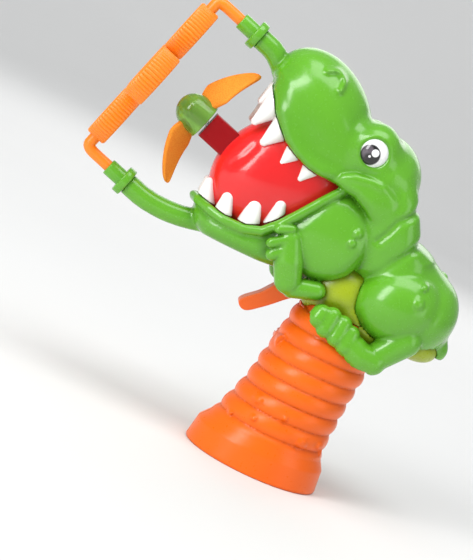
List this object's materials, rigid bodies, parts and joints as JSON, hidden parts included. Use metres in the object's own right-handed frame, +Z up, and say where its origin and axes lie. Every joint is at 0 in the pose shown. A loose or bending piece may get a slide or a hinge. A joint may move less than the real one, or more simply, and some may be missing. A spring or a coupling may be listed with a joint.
{
  "type": "bubble machine",
  "caption": "Hand-held battery bubble machine shaped like a cartoon dinosaur: mouth fan, fluted bubble rings on curved tubes, trigger and ribbed grip.",
  "frame": {"origin": "middle of the grip's flat foot, on the surface the toy stands on", "axes": "+Z up through the grip, -X the way the animal faces and the air leaves (tilted up from -X), +Y the animal's right, Y = 0 its middle plane"},
  "size_m": [0.1406, 0.0562, 0.1372],
  "materials": {
    "green": "glossy",
    "lime": "satin",
    "red": "glossy",
    "dark_red": "satin",
    "white": "glossy",
    "eye": "glossy, printed",
    "orange": "glossy",
    "orange_wand": "glossy",
    "trigger_orange": "satin",
    "foam": "matte foam",
    "hub_green": "slightly translucent",
    "steel": "bright",
    "nickel": "plated",
    "brass": "satin",
    "black": "satin",
    "grey": "satin",
    "cell": "wrapped",
    "white_nylon": "satin"
  },
  "bodies": {
    "frame": {"body_left": "green", "body_right": "green", "body_screws": "steel", "belly_panel": "lime", "mouth_lining": "red", "motor_nose": "dark_red", "shaft_bush": "brass", "upper_teeth": "white", "lower_teeth": "white", "eye_left": "eye", "eye_right": "eye", "upper_collar": "green", "lower_collar": "green", "bubble_wand": "orange_wand", "side_ring_near": "orange_wand", "side_ring_far": "orange_wand", "motor_can": "steel", "motor_end_cap": "white_nylon", "motor_clip": "black", "motor_clip_screws": "steel", "trigger_pin": "steel", "trigger_spring": "steel", "switch_block": "black", "switch_bracket": "grey", "grip_left": "orange", "grip_right": "orange", "grip_screws": "steel", "cell_left": "cell", "cell_right": "cell", "top_contacts": "nickel"},
    "fan": {"fan_hub": "hub_green", "fan_blade_a": "foam", "fan_blade_b": "foam", "fan_shaft": "steel"},
    "trigger_lever": {"trigger": "trigger_orange"},
    "button": {"switch_button": "white_nylon"},
    "foot_cap": {"battery_cap": "orange", "cap_screw": "steel", "link_contact": "nickel", "cell_springs": "nickel"}
  },
  "joints": [
    {"name": "fan_spin", "type": "hinge", "parent": "frame", "child": "fan", "pos_m": [-0.0628, 0, 0.0978], "axis": [-0.9527, 0, 0.304], "continuous": true},
    {"name": "trigger_pull", "type": "hinge", "parent": "frame", "child": "trigger_lever", "pos_m": [-0.0125, 0, 0.062], "axis": [0, -1, 0], "range_deg": [0, 12], "stiffness_Nm_per_rad": 0.05, "springref_deg": -28.65, "deforming": ["trigger_spring"]},
    {"name": "button_press", "type": "slide", "parent": "frame", "child": "button", "axis": [0, 0, 1], "range_m": [0, 0.0009]},
    {"name": "cap_release", "type": "slide", "parent": "frame", "child": "foot_cap", "axis": [0, 0, -1], "range_m": [0, 0.014]}
  ],
  "couplings": [
    {"joint": "button_press", "follows": "trigger_pull", "m_per_rad": 0.0036}
  ]
}
